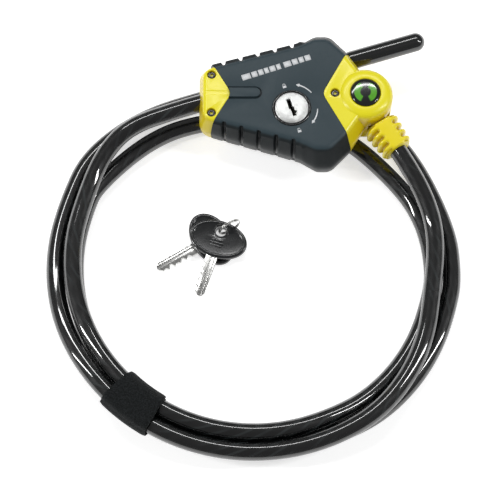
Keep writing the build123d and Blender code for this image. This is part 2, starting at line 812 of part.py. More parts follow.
with BuildPart() as key_b_head:
    with BuildSketch(for_key_b.offset(5.2)):
        with Locations((5, 0)):
            Ellipse(key_short / 2, key_long / 2)
        Circle(hole_r, mode=Mode.SUBTRACT)
    extrude(amount=3)
    add(key_b_blade.part, mode=Mode.SUBTRACT)
key_b_head.part.label = "key_b_head"
export_step(key_b_head.part, "parts/key_b_head.step")

ring_dir = (cos(radians(29)), sin(radians(29)), 0)
ring_mid = (hole_x + 5.4 * ring_dir[0], hole_y + 5.4 * ring_dir[1], wire_r + ring_r)
with BuildPart() as key_ring:
    with BuildSketch(Plane(origin=ring_mid, x_dir=ring_dir, z_dir=(0, 0, 1))):
        with Locations((ring_r, 0)):
            Circle(wire_r)
    revolve(axis=Axis(ring_mid, (-ring_dir[1], ring_dir[0], 0)), revolution_arc=360)
key_ring.part.label = "key_ring"
export_step(key_ring.part, "parts/key_ring.step")
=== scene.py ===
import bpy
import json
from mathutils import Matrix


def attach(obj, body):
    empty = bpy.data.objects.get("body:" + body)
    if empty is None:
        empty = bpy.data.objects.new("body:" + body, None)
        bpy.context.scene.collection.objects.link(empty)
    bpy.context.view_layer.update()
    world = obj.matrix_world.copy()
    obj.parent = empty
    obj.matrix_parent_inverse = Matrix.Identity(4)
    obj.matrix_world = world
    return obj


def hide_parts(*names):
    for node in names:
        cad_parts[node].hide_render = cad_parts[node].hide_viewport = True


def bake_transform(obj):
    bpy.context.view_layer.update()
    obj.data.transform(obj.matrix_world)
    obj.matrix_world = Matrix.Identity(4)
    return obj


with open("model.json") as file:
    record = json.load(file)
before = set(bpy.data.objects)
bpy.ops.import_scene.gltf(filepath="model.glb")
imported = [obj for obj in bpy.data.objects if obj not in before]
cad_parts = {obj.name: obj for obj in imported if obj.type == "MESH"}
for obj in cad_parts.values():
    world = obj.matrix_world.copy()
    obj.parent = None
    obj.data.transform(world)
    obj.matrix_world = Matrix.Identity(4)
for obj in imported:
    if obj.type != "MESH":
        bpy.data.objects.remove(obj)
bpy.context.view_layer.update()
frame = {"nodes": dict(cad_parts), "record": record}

import json
import random
from math import acos, cos, pi, radians, sin, sqrt, tan

import bmesh
import bpy
import numpy as np
from mathutils import Vector

# Camera, floor and lamps. The lock lies on a lit white sheet under three narrow
# strip lamps, seen from high in front.
MM = 0.001
camera_aim = Vector((-0.01824, -0.0444, 0))
camera_away = 1.10
camera = bpy.data.objects.new("camera", bpy.data.cameras.new("camera"))
bpy.context.collection.objects.link(camera)
camera.data.lens = 141.4
camera.data.sensor_width = 36
camera_height = radians(70)
camera_back = Vector((0, -cos(camera_height), sin(camera_height)))
camera.location = camera_aim + camera_back * camera_away
camera.rotation_mode = "QUATERNION"
camera.rotation_quaternion = (-camera_back).to_track_quat("-Z", "Y")
camera.data.clip_end = 20
bpy.context.scene.camera = camera


def lamp(name, where, size, watts):
    """Strip lamp that points at the middle of the floor."""
    light = bpy.data.lights.new(name, "AREA")
    light.shape = "RECTANGLE"
    light.size, light.size_y = size
    light.energy = watts
    thing = bpy.data.objects.new(name, light)
    bpy.context.collection.objects.link(thing)
    thing.location = where
    thing.rotation_mode = "QUATERNION"
    thing.rotation_quaternion = Vector(where).to_track_quat("Z", "Y")


lamp("top_light", (-0.1, 0.62, 1.05), (1.1, 0.07), 4.6)
lamp("left_light", (-1.05, -0.15, 0.85), (0.06, 0.9), 7.5)
lamp("right_light", (0.95, -0.1, 0.9), (0.06, 0.8), 6.0)
world = bpy.data.worlds.new("studio")
bpy.context.scene.world = world
world.use_nodes = True
sky = world.node_tree.nodes["Background"].inputs
sky["Color"].default_value = (1, 1, 1, 1)
sky["Strength"].default_value = 0.18
bpy.context.scene.view_settings.view_transform = "Standard"


class Wire:
    """A shader socket on which sums can be written as plain arithmetic."""

    def __init__(self, finish, socket):
        self.finish = finish
        self.socket = socket

    def sum(self, operation, first, second=0.0):
        return self.finish.node("ShaderNodeMath", {"operation": operation}, {0: first, 1: second})

    def __add__(self, other):
        return self.sum("ADD", self, other)

    def __sub__(self, other):
        return self.sum("SUBTRACT", self, other)

    def __rsub__(self, other):
        return self.sum("SUBTRACT", other, self)

    def __mul__(self, other):
        return self.sum("MULTIPLY", self, other)

    def over(self, other):
        return self.sum("DIVIDE", self, other)

    def wave(self):
        return self.sum("SINE", self)

    def root(self):
        return self.sum("SQRT", self)

    def step(self, low, high):
        """0 below low, 1 above high, smooth between."""
        settings = {"interpolation_type": "SMOOTHSTEP"}
        return self.finish.node("ShaderNodeMapRange", settings, {0: self, 1: low, 2: high})

    __radd__ = __add__
    __rmul__ = __mul__


class Finish:
    """A material for one of the lock's finishes, built on the standard surface shader."""

    def __init__(self, name, colour, **sockets):
        self.material = bpy.data.materials.new(name)
        self.material.use_nodes = True
        self.tree = self.material.node_tree
        self.shader = self.tree.nodes["Principled BSDF"]
        self.shader.inputs["Base Color"].default_value = (*colour, 1)
        for key, value in sockets.items():
            self.shader.inputs[key.replace("_", " ")].default_value = value

    def node(self, kind, settings, inputs, output=0):
        """One node: its settings first, then a value or a wire for each socket."""
        made = self.tree.nodes.new(kind)
        for key, value in settings.items():
            setattr(made, key, value)
        for key, value in inputs.items():
            if isinstance(value, Wire):
                self.tree.links.new(value.socket, made.inputs[key])
            else:
                made.inputs[key].default_value = value
        return Wire(self, made.outputs[output])

    def feed(self, socket, wire):
        """Leads a wire to the surface shader."""
        self.tree.links.new(wire.socket, self.shader.inputs[socket])

    def place(self):
        """Position on the piece, in metres."""
        return self.node("ShaderNodeTexCoord", {}, {}, "Object")

    def noise(self, scale, detail=4.0):
        """Soft random value over the piece, about scale spots to the metre."""
        inputs = {"Vector": self.place(), "Scale": scale, "Detail": detail}
        return self.node("ShaderNodeTexNoise", {}, inputs)

    def away_from(self, x, y):
        """Distances along X and Y from an upright line, in metres."""
        inputs = {0: self.place(), 1: (x, y, 0.0)}
        away = self.node("ShaderNodeVectorMath", {"operation": "SUBTRACT"}, inputs)
        return self.parts(away, 0), self.parts(away, 1)

    def blend(self, share, low, high):
        """Colour between low and high by share."""
        inputs = {0: share, 6: (*low, 1), 7: (*high, 1)}
        return self.node("ShaderNodeMix", {"data_type": "RGBA"}, inputs, 2)

    def bump(self, height, depth, strength=1.0):
        """Surface relief of that depth in metres."""
        inputs = {"Height": height, "Distance": depth, "Strength": strength}
        self.feed("Normal", self.node("ShaderNodeBump", {}, inputs))

    def parts(self, socket, output):
        """One number of a vector."""
        return self.node("ShaderNodeSeparateXYZ", {}, {0: socket}, output)


floor_half = 6
floor_mesh = bpy.data.meshes.new("floor")
floor_corners = [(-1, -1), (1, -1), (1, 1), (-1, 1)]
floor_mesh.from_pydata([(x * floor_half, y * floor_half, 0) for x, y in floor_corners], [], [(0, 1, 2, 3)])
floor = bpy.data.objects.new("floor", floor_mesh)
bpy.context.collection.objects.link(floor)
floor.location.z = -0.0002
paper = Finish("pale_floor", (0.93, 0.93, 0.93), Roughness=0.9,
               Emission_Color=(1, 1, 1, 1), Emission_Strength=0.6)
paper.feed("Roughness", paper.noise(30.0) * 0.1 + 0.85)
floor_mesh.materials.append(paper.material)

# The cable: one length of steel strand in smoke-clear vinyl, 10 mm thick.
# It leaves the boot, makes three turns, passes twice under the body and comes
# up into the passage; the route's points are those of the frame, in metres.
lock_x, lock_y = 4.86, 34.295
coil_x, coil_y, coil_r = lock_x - 21.2, lock_y - 88.7, 104.4
cable_r = 5.0
swivel_turn = radians(-57)
swivel_x = 41
passage_side = 23.9
mid_height = 24.5
cylinder_drop = 9
coil_shift = 0.8
slant = radians(17.3)


def at_lock(x, y, z):
    """Point given from the lock's own origin, in metres."""
    return Vector(((lock_x + x) * MM, (lock_y + y) * MM, z * MM))


def on_coil(angle, lateral, z):
    """Point on the coil at an angle, beside its mean circle, in metres."""
    radius = coil_r + lateral
    x = coil_x + radius * cos(radians(angle))
    y = coil_y + radius * sin(radians(angle))
    return Vector((x * MM, y * MM, z * MM))


def in_passage(u):
    """Point along the passage that crosses the body, in metres."""
    x = u * cos(slant) - passage_side * sin(slant)
    y = u * sin(slant) + passage_side * cos(slant) - cylinder_drop
    return at_lock(x, y, mid_height)


def off_pivot(along, side=0.0, up=0.0):
    """Point out from the swivel's pin along the boot, in metres."""
    x = swivel_x + along * cos(swivel_turn) - side * sin(swivel_turn)
    y = along * sin(swivel_turn) + side * cos(swivel_turn)
    return at_lock(x, y, mid_height + up)


# angle, then lateral place and height of the first, second and third turn
lay_table = [
    (-12, -4.8, 15.0, 5.3, 5.0, -5.3, 5.0),
    (-30, 0.2, 14.3, 5.3, 5.0, -5.3, 5.0),
    (-50, 5.2, 15.2, 5.2, 5.0, -5.5, 5.2),
    (-65, 5.4, 15.7, 2.8, 5.6, -6.4, 10.3),
    (-85, 5.3, 15.5, 0.0, 6.6, -5.3, 15.5),
    (-130, 5.3, 15.5, 0.0, 6.6, -5.3, 15.5),
    (-147, 5.3, 15.3, -3.2, 5.6, -5.1, 15.5),
    (-162, 5.6, 11.4, -5.3, 5.0, -4.9, 15.1),
    (-180, 5.4, 6.0, -5.3, 5.0, -4.8, 15.0),
    (-200, 5.3, 5.0, -5.3, 5.0, -4.8, 15.0),
]
lay_columns = list(zip(*lay_table[::-1]))
coil_steps = 14


def coil_turn(which):
    """Points of one turn, clockwise round the coil's open part."""
    points = []
    for step in range(1, coil_steps):
        angle = -12 - 188 * step / coil_steps
        lateral = np.interp(angle, lay_columns[0], lay_columns[1 + 2 * which])
        z = np.interp(angle, lay_columns[0], lay_columns[2 + 2 * which])
        points.append(on_coil(angle, lateral + coil_shift, z))
    return points


route = [
    off_pivot(22), off_pivot(40), at_lock(75.5, -58.0, 21.0), at_lock(80.0, -80.0, 17.0),
    on_coil(-12, -4.3, 15.0),
    *coil_turn(0),
    on_coil(160, 6.0, 5), at_lock(-114.5, -24.3, 5), at_lock(-85.6, -0.9, 5),
    at_lock(-50.0, 11.5, 5), at_lock(-13.0, 21.3, 5), at_lock(32.4, 11.7, 5),
    at_lock(66.0, -19.7, 5), at_lock(87.4, -67.7, 5), at_lock(89.4, -96.1, 5),
    on_coil(-12, 6.0, 5),
    *coil_turn(1),
    on_coil(160, -4.6, 5), at_lock(-109.7, -42.1, 5), at_lock(-83.0, -16.3, 5),
    at_lock(-56.0, -3.7, 5), at_lock(-6.0, 1.5, 5), at_lock(30.4, -11.0, 5),
    at_lock(62.9, -43.5, 5), at_lock(75.4, -66.9, 5), at_lock(79.1, -93.5, 5),
    on_coil(-12, -4.6, 5),
    *coil_turn(2),
    on_coil(160, -4.1, 15.0), at_lock(-106.0, -28.5, 17.0), at_lock(-91.0, -12.3, 21.0),
    in_passage(-60), in_passage(-40), in_passage(0), in_passage(48),
]


def as_shown(thing):
    """The object's mesh with its modifiers applied."""
    graph = bpy.context.evaluated_depsgraph_get()
    return bpy.data.meshes.new_from_object(thing.evaluated_get(graph))


def spline_points(name, points):
    """Points read along a smooth NURBS line through the route."""
    curve = bpy.data.curves.new(name, "CURVE")
    curve.dimensions = "3D"
    curve.resolution_u = 16
    spline = curve.splines.new("NURBS")
    spline.points.add(len(points) - 1)
    for point, at in zip(spline.points, points):
        point.co = (*at, 1)
    spline.order_u = 3
    spline.use_endpoint_u = True
    thing = bpy.data.objects.new(name, curve)
    bpy.context.collection.objects.link(thing)
    mesh = as_shown(thing)
    line = [Vector(v.co) for v in mesh.vertices]
    bpy.data.objects.remove(thing)
    bpy.data.meshes.remove(mesh)
    return line


def evenly(line, gap):
    """The same line with points about gap apart."""
    places = [0.0]
    for a, b in zip(line, line[1:]):
        places.append(places[-1] + (b - a).length)
    count = max(2, int(places[-1] / gap))
    wanted = np.linspace(0, places[-1], count)
    axes = [np.interp(wanted, places, [p[i] for p in line]) for i in range(3)]
    return [Vector(p) for p in zip(*axes)]


def show(name, mesh, finish, body, slot, *hides):
    """A finished piece: its material, the body it rides on and what it stands for."""
    mesh.materials.append(finish.material)
    piece = bpy.data.objects.new(name, mesh)
    bpy.context.collection.objects.link(piece)
    if body:
        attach(piece, body)
    if hides:
        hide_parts(*hides)
    return piece


def outward(name, verts, faces):
    """Mesh whose faces all look outwards."""
    mesh = bpy.data.meshes.new(name)
    mesh.from_pydata([tuple(v) for v in verts], [], faces)
    bm = bmesh.new()
    bm.from_mesh(mesh)
    bmesh.ops.recalc_face_normals(bm, faces=bm.faces)
    bm.to_mesh(mesh)
    bm.free()
    return mesh


def skin(name, rings, capped=True, smooth=True):
    """Mesh over a row of rings with equal counts of points."""
    count = len(rings[0])
    faces = []
    for i in range(len(rings) - 1):
        for j in range(count):
            a, b = i * count + j, i * count + (j + 1) % count
            faces.append((a, b, b + count, a + count))
    if capped:
        faces.append(tuple(range(count))[::-1])
        faces.append(tuple((len(rings) - 1) * count + j for j in range(count)))
    mesh = outward(name, [p for ring in rings for p in ring], faces)
    if smooth:
        mesh.shade_smooth()
    return mesh


def block(name, flat, low, high):
    """Upright block between two heights over flat points given from the lock's origin."""
    return skin(name, [[at_lock(x, y, z) for x, y in flat] for z in (low, high)], smooth=False)


def tube(name, line, radius, around=24, ends=None):
    """Round tube along a line, with a map of length and turn on it."""
    tangent = (line[1] - line[0]).normalized()
    side = tangent.orthogonal().normalized()
    rings = []
    for i, at in enumerate(line):
        ahead = line[min(i + 1, len(line) - 1)] - line[max(i - 1, 0)]
        ahead.normalize()
        side = (side - ahead * side.dot(ahead)).normalized()
        other = ahead.cross(side)
        size = radius * (ends(i) if ends else 1)
        turns = [2 * pi * j / around for j in range(around)]
        rings.append([at + (side * cos(t) + other * sin(t)) * size for t in turns])
    mesh = skin(name, rings)
    mesh.set_sharp_from_angle(angle=radians(55))
    layer = mesh.uv_layers.new(name="lay").data
    along = [0.0]
    for a, b in zip(line, line[1:]):
        along.append(along[-1] + (b - a).length)
    for face in mesh.polygons:
        ring_ids = [mesh.loops[k].vertex_index % around for k in face.loop_indices]
        wraps = max(ring_ids) - min(ring_ids) > around / 2
        for k in face.loop_indices:
            row, col = divmod(mesh.loops[k].vertex_index, around)
            turn = col / around + (1 if wraps and col < around / 2 else 0)
            layer[k].uv = (along[row] / 0.1, turn)
    return mesh


# Cable's cover: smoke-clear vinyl pressed round the steel strand, whose lay shows
# through as slanting glints, drawn as six waves that wind round the cable.
lay_wires, lay_pitch = 6, 9.5
vinyl = Finish("smoke_vinyl", (0.006, 0.007, 0.008), Roughness=0.4, Specular_IOR_Level=0.2,
               Coat_Weight=1.0, Coat_Roughness=0.05, Coat_IOR=1.75)
lay = vinyl.node("ShaderNodeUVMap", {"uv_map": "lay"}, {})
length_on = vinyl.parts(lay, 0)
turn_on = vinyl.parts(lay, 1)
twist = (turn_on * (lay_wires * 2 * pi) + length_on * (2 * pi * lay_pitch) + vinyl.noise(60.0) * 1.4).wave()
glints = twist.step(0.35, 0.95) * vinyl.noise(45.0, 2.0).step(0.38, 0.62)
vinyl.feed("Base Color", vinyl.blend(glints, (0.0015, 0.0019, 0.0021), (0.016, 0.020, 0.021)))
vinyl.feed("Roughness", 0.34 + glints * 0.12 + vinyl.noise(300.0) * 0.08)
vinyl.bump(twist.step(-1.0, 1.0), 0.00012, 0.6)

# End cap: black vinyl dipped over the cable's free end, with a round nose, so that
# the end slides into the passage and the cut strand can't fray.
cap_start, cap_end, cap_r = 42.0, 87.0, 5.35
straight_rings = 60
nose_turns = np.linspace(0.05, pi / 2 - 0.02, 24)
dip = Finish("cap_vinyl", (0.004, 0.005, 0.005), Roughness=0.2, Specular_IOR_Level=0.35,
             Coat_Weight=0.9, Coat_Roughness=0.05, Coat_IOR=1.7)
dip.feed("Roughness", 0.17 + dip.noise(240.0) * 0.12)
dip.bump(dip.noise(380.0, 3.0), 0.00006, 0.4)
cap_line = [in_passage(u) for u in np.linspace(cap_start, cap_end - cap_r, straight_rings)]
cap_line += [in_passage(cap_end - cap_r + cap_r * sin(t)) for t in nose_turns]


def cap_shape(i):
    """Share of the full radius: a rolled lip, a plain length and a round end."""
    if i >= straight_rings:
        return max(0.02, cos(nose_turns[i - straight_rings]))
    return 0.965 + 0.035 * min(1, i / 2)


tail_mesh = tube("cable_tail_cap", cap_line, cap_r * MM, 40, cap_shape)
tail_cap = show("cable_tail_cap", tail_mesh, dip, "lock", "cap_vinyl", "cable_end_cap")

# Cable strands: one length of cable drawn in two, the lead between boot and coil,
# and the rest, which lies still in the coil and the passage.
whole_line = spline_points("route", route)
lead_end = on_coil(-12, -4.8, 15)
split = min(range(len(whole_line) // 3), key=lambda i: (whole_line[i] - lead_end).length)
lead_line = evenly(whole_line[:split + 1], 0.0022)
main_line = evenly(whole_line[split:], 0.0026)
lead_mesh = tube("cable_lead_strand", lead_line, cable_r * MM)
lead = show("cable_lead_strand", lead_mesh, vinyl, None, "cable_vinyl", "cable_lead", "fixed_end")
tuple(off_pivot(36))
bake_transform(lead)
tuple(off_pivot(34))
main_mesh = tube("cable_coil_strand", main_line, cable_r * MM)
main = show("cable_coil_strand", main_mesh, vinyl, "lock", "cable_vinyl", "coil_right", "coil_front",
            "coil_left", "cable_under_outer", "cable_under_inner", "cable_rise", "cable_through")

# Lock body. A glass-filled nylon shell in two halves: dark covers in the middle,
# yellow ends that overlap them in a V, all screwed to the die-cast chassis.
corner_count = 14
edge_count = 26
long_edge = 45
body_back, body_front = 10.5, 38.5
band_half = [(42, 14), (33, 28.8), (22, 40.3), (13.5, 40.3), (4, 34.5), (-51.5, 17.5)]
face_half = [(38, 12), (28.8, 25.2), (20.5, 33.4), (12.5, 33), (4, 28.8), (-49, 14.5)]
grip_places = [0.8 - 9.6 * step for step in range(5)]


def outline(corners, amount, radius):
    """Points round a closed outline drawn in by amount, with rounded corners."""
    moved = []
    count = len(corners)
    for i, at in enumerate(corners):
        a = (Vector(at) - Vector(corners[i - 1])).normalized()
        b = (Vector(corners[(i + 1) % count]) - Vector(at)).normalized()
        side_a, side_b = Vector((-a.y, a.x)), Vector((-b.y, b.x))
        moved.append(Vector(at) + (side_a + side_b) * (amount / (1 + side_a.dot(side_b))))
    arcs = []
    for i, at in enumerate(moved):
        a = (moved[i - 1] - at).normalized()
        b = (moved[(i + 1) % count] - at).normalized()
        half = acos(max(-1, min(1, a.dot(b)))) / 2
        reach = radius / tan(half)
        start, end = at + a * reach, at + b * reach
        arc = []
        for k in range(corner_count + 1):
            t = k / corner_count
            arc.append(start * (1 - t) ** 2 + at * 2 * t * (1 - t) + end * t ** 2)
        arcs.append(arc)
    points = []
    for i, arc in enumerate(arcs):
        points += arc
        nearest = arcs[(i + 1) % count][0]
        long = edge_count * (4 if (arc[-1] - nearest).length > long_edge else 1)
        points += [arc[-1].lerp(nearest, k / long) for k in range(1, long)]
    return points


def rising(value, span):
    """0 below 0, 1 above span, a straight rise between."""
    return min(1, max(0, value / span))


def body_mesh(name, gap=0.0, low=body_back, high=body_front, grips=True):
    """The whole body's skin between two levels, drawn in by gap."""
    bands = [(10.5, 0, 5.2), (10.7, 0, 4.5), (11.4, 0, 3.75), (14, 0, 2.7), (18, 0, 1.15),
             (20, 0, 0.45), (21.5, 0, 0.12), (24, 0, 0), (26.5, 0, 0.05), (27.6, 0.06, 0.0),
             (29, 0.17, 0), (31, 0.35, 0), (33, 0.52, 0), (35, 0.7, 0), (36.4, 0.82, 0),
             (37.2, 0.89, 0.12), (37.8, 0.94, 0.45), (38.2, 0.97, 0.95), (38.42, 0.99, 1.6),
             (38.5, 1, 2.4)]
    levels = [band for band in bands if low < band[0] < high]
    for z in (low, high):
        weights = [np.interp(z, [b[0] for b in bands], [b[k] for b in bands]) for k in (1, 2)]
        levels.append((z, *weights))
    levels.sort()
    band = band_half + [(x, -y) for x, y in reversed(band_half)]
    face = face_half + [(x, -y) for x, y in reversed(face_half)]
    rings = []
    for z, weight, draw in levels:
        mixed = [Vector(a).lerp(Vector(b), weight) for a, b in zip(band, face)]
        flat = outline(mixed, draw + gap, max(7.5 - draw - gap, 2.2))
        ring = []
        fade = rising(38.0 - z, 0.8) * rising(z - 10.9, 1.0)
        for i, at in enumerate(flat):
            push = 0.0
            if grips and abs(at.y) > 12 and at.x < 8:
                for groove in grip_places:
                    near = abs(at.x - groove)
                    push = max(push, (2.0 if at.y < 0 else 1.1) * rising(1.25 - near, 0.6))
                proud = (1.9 if at.y > 0 else 0.9) * min(1, (8 - at.x) / 2) * rising(z - 25, 5)
                proud *= rising(37.3 - z, 0.7)
                push -= proud * (1 - push / 2.4) * rising(at.x + 47, 3)
            ahead = (flat[(i + 1) % len(flat)] - flat[i - 1]).normalized()
            inward = Vector((-ahead.y, ahead.x)) * push * fade
            ring.append(at_lock(at.x + inward.x, at.y + inward.y, z))
        rings.append(ring)
    return skin(name, rings)


def prism(name, corners, low, high, tip=None, tip_r=6.0):
    """Upright block with one rounded corner, to cut with."""
    flat = []
    for i, at in enumerate(corners):
        at = Vector(at)
        if i != tip:
            flat.append(at)
            continue
        a = (Vector(corners[i - 1]) - at).normalized()
        b = (Vector(corners[(i + 1) % len(corners)]) - at).normalized()
        half = acos(a.dot(b)) / 2
        reach = tip_r / tan(half)
        flat += [(at + a * reach) * (1 - t) ** 2 + at * 2 * t * (1 - t) + (at + b * reach) * t ** 2
                 for t in [k / 12 for k in range(13)]]
    return block(name, flat, low, high)


def drum(name, centre, profile, around=96):
    """Turned shape: radius and height pairs about an upright line, in millimetres."""
    rings = []
    for radius, z in profile:
        rings.append([Vector((centre[0] + radius * MM * cos(2 * pi * j / around),
                              centre[1] + radius * MM * sin(2 * pi * j / around), z * MM))
                      for j in range(around)])
    return skin(name, rings)


def cut(mesh, *tools):
    """The mesh after each tool mesh is taken away, added or kept in common."""
    base = bpy.data.objects.new("work", mesh)
    bpy.context.collection.objects.link(base)
    helpers = []
    for kind, tool in tools:
        helper = bpy.data.objects.new("tool", tool)
        bpy.context.collection.objects.link(helper)
        helpers.append(helper)
        step = base.modifiers.new(kind, "BOOLEAN")
        step.operation = kind
        step.object = helper
        step.solver = "EXACT"
    bpy.context.view_layer.update()
    done = as_shown(base)
    for thing in (base, *helpers):
        bpy.data.objects.remove(thing)
    done.materials.clear()
    return done


def soften(piece, width, angle=38, segments=2):
    """Small rounded edges, as a moulded or turned piece has."""
    edge = piece.modifiers.new("edges", "BEVEL")
    edge.width = width * MM
    edge.segments = segments
    edge.limit_method = "ANGLE"
    edge.angle_limit = radians(angle)
    edge.harden_normals = False
    bpy.context.view_layer.update()
    done = as_shown(piece)
    piece.modifiers.clear()
    piece.data = done
    done.shade_smooth()
    done.set_sharp_from_angle(angle=radians(32))
    return piece


left_corners = [(-33.5, 0), (-46.5, 22), (-60, 32), (-80, 32), (-80, -32), (-60, -32), (-46.5, -22)]
right_corners = [(17.2, 0), (30.8, -24.5), (34.5, -31.5), (80, -31.5), (80, 31.5),
                 (34.5, 31.5), (30.8, 24.5)]
seam = 0.16
bore_r = 5.6
cut_low, cut_high = 0, 60


def grown(corners, amount, sign):
    """Corners of an end's outline pushed towards the middle of the body."""
    return [(x + sign * amount, y) for x, y in corners]


# Covers: two halves in dark slate plastic with a fine-sparked satin face, moulded
# with grip pads along both long edges and a raised rib beside the left end.
slate = Finish("slate_plastic", (0.03, 0.04, 0.05), Roughness=0.5, Specular_IOR_Level=0.4)
# Painted shade: the cover is paler on its top face and darker on the sides and grip pads below it, set by
# height, with a little random tone mixed in.
painted_shade_by_height = slate.parts(slate.place(), 2).step(0.0368, 0.0380)
mottle = slate.noise(140.0) * 0.25
slate_shaded_sides, slate_pale = (0.005, 0.008, 0.009), (0.032, 0.054, 0.066)
slate.feed("Base Color", slate.blend(painted_shade_by_height * 0.85 + mottle * 0.4, slate_shaded_sides, slate_pale))
slate.feed("Roughness", 0.44 + slate.noise(500.0) * 0.12)
slate.bump(slate.noise(2600.0, 2.0), 0.00006, 0.5)

cylinder_at = (lock_x * MM, (lock_y - cylinder_drop) * MM)
pivot_at = ((lock_x + swivel_x) * MM, lock_y * MM)
parting, parting_gap = mid_height, 0.06
parting_high, parting_low = parting + parting_gap, parting - parting_gap


def passage_bore(radius):
    """Round bar that fills the cable's way through the body."""
    return tube("bore", [in_passage(-80), in_passage(80)], radius * MM, 48)


def slot_shape(name, left, right, middle, wide, low, high):
    """Upright block with one round end on the right."""
    flat = [Vector((left, middle - wide / 2))]
    flat += [Vector((right - wide / 2 + wide / 2 * cos(t), middle + wide / 2 * sin(t)))
             for t in np.linspace(-pi / 2, pi / 2, 17)]
    flat.append(Vector((left, middle + wide / 2)))
    return block(name, flat, low, high)


rib_wall = slot_shape("rib", -36.5, -17.5, 0.3, 5.4, 36.5, 39.4)
cover_mesh = cut(
    body_mesh("front_cover_shell", low=parting_high),
    ("DIFFERENCE", slot_shape("trench", -40, -16.5, 0.3, 7.6, 37.5, 41)),
    ("UNION", rib_wall),
    ("DIFFERENCE", prism("left", grown(left_corners, seam, 1), cut_low, cut_high, 0)),
    ("DIFFERENCE", prism("right", grown(right_corners, seam, -1), cut_low, cut_high, 0)),
    ("DIFFERENCE", drum("hole", cylinder_at, [(10.85, 34), (10.85, 45)])),
    ("DIFFERENCE", passage_bore(bore_r)),
)
soften(show("front_cover_shell", cover_mesh, slate, "lock", "cover_plastic", "front_cover"), 0.4)
rear_mesh = cut(
    body_mesh("rear_cover_shell", gap=0.12, high=parting_low),
    ("DIFFERENCE", prism("left", grown(left_corners, seam, 1), cut_low, cut_high, 0)),
    ("DIFFERENCE", prism("right", grown(right_corners, seam, -1), cut_low, cut_high, 0)),
    ("DIFFERENCE", passage_bore(bore_r)),
)
jet = Finish("jet_plastic", (0.012, 0.014, 0.016), Roughness=0.4)
jet.feed("Roughness", 0.34 + jet.noise(400.0) * 0.16)
jet.bump(jet.noise(2400.0, 2.0), 0.00005, 0.5)
soften(show("rear_cover_shell", rear_mesh, jet, "lock", "rear_plastic", "rear_cover"), 0.4)

# Left end: bright satin-gloss yellow plastic in two halves, screwed from the front
# over the ends of the covers. A moulded crease runs on from the covers' rib.
end_bore_r = 5.3
sun = Finish("yellow_plastic", (0.88, 0.66, 0.0), Roughness=0.36, Coat_Weight=0.25, Coat_Roughness=0.18)
# Painted shade: faces that turn from the top, by the height of the normal, get a darker golden yellow, with a
# little random tone mixed in.
painted_shade_by_facing = sun.parts(sun.node("ShaderNodeNewGeometry", {}, {}, "Normal"), 2).step(0.1, 0.9)
painted_shade_share = painted_shade_by_facing * 0.85 + sun.noise(90.0) * 0.3
sun.feed("Base Color", sun.blend(painted_shade_share, (0.72, 0.53, 0.0), (0.91, 0.82, 0.012)))
sun.feed("Roughness", 0.3 + sun.noise(350.0) * 0.12)
sun.bump(sun.noise(1800.0, 2.0), 0.00005, 0.4)

crease = slot_shape("crease", -55, -30, 0.3, 2.2, 38.35, 41)
screw_spots = [(-44.5, 11.5), (-44.5, -11.5), (24.2, 0.5)]
recess_profile = [(2.35, 36.6), (2.55, 38.2), (3.0, 38.7), (3.0, 41)]
recesses = []
for x, y in screw_spots:
    recesses.append(("DIFFERENCE", drum("recess", at_lock(x, y, 0).xy, recess_profile, 40)))
cap_front = cut(
    body_mesh("left_end_front", low=parting_high, grips=False),
    ("INTERSECT", prism("left", left_corners, cut_low, cut_high, 0)),
    ("DIFFERENCE", crease),
    *recesses[:2],
    ("DIFFERENCE", passage_bore(end_bore_r)),
)
soften(show("left_end_front", cap_front, sun, "lock", "yellow_plastic", "end_cap_front"), 0.45)
cap_rear = cut(
    body_mesh("left_end_rear", gap=0.25, high=parting_low, grips=False),
    ("INTERSECT", prism("left", left_corners, cut_low, cut_high, 0)),
    ("DIFFERENCE", passage_bore(end_bore_r)),
)
soften(show("left_end_rear", cap_rear, sun, "lock", "yellow_plastic", "end_cap_rear"), 0.45)

# Right bracket: the same yellow plastic in two halves, with the swivel's round
# housing on it. A slot at the parting line leaves room for the terminal's neck.
dome = [(0, 10.5), (13, 10.5), (15.0, 12.0), (15.5, 14), (15.5, 34.6), (15.3, 36.2), (14.7, 37.6),
        (13.7, 38.7), (12.5, 39.35), (11.2, 39.7), (9.6, 39.8), (9.0, 39.75), (8.6, 39.5),
        (8.45, 39.0), (8.45, 38.6), (0, 38.6)]
all_round = [(-90, -60), (90, -60), (90, 60), (-90, 60)]
fan_reach, fan_half, fan_root = 30, 4.9, 5.5


def swing_fan():
    """Room in which the terminal's neck swings."""
    low_side = -fan_half - fan_reach * tan(radians(7))
    high_side = fan_half + fan_reach * tan(radians(14))
    fan = [off_pivot(fan_reach, low_side), off_pivot(fan_reach, high_side),
           off_pivot(0, fan_root), off_pivot(0, -fan_root)]
    return skin("fan", [[Vector((p.x, p.y, z * MM)) for p in fan] for z in (20.5, 28.5)], smooth=False)


def housing(low, high):
    """The part of the round housing between two heights."""
    return cut(drum("dome", pivot_at, dome), ("INTERSECT", prism("span", all_round, low, high)))


bracket_front = cut(
    body_mesh("right_bracket_front", low=parting_high, grips=False),
    ("INTERSECT", prism("right", right_corners, cut_low, cut_high, 0)),
    ("UNION", housing(parting_high, 60)),
    ("DIFFERENCE", swing_fan()),
    recesses[2],
    ("DIFFERENCE", passage_bore(bore_r)),
)
soften(show("right_bracket_front", bracket_front, sun, "lock", "yellow_plastic", "bracket_front"), 0.5)
bracket_rear = cut(
    body_mesh("right_bracket_rear", gap=0.25, high=parting_low, grips=False),
    ("INTERSECT", prism("right", right_corners, cut_low, cut_high, 0)),
    ("UNION", housing(5, parting_low)),
    ("DIFFERENCE", swing_fan()),
    ("DIFFERENCE", passage_bore(bore_r)),
)
soften(show("right_bracket_rear", bracket_rear, sun, "lock", "yellow_plastic", "bracket_rear"), 0.5)

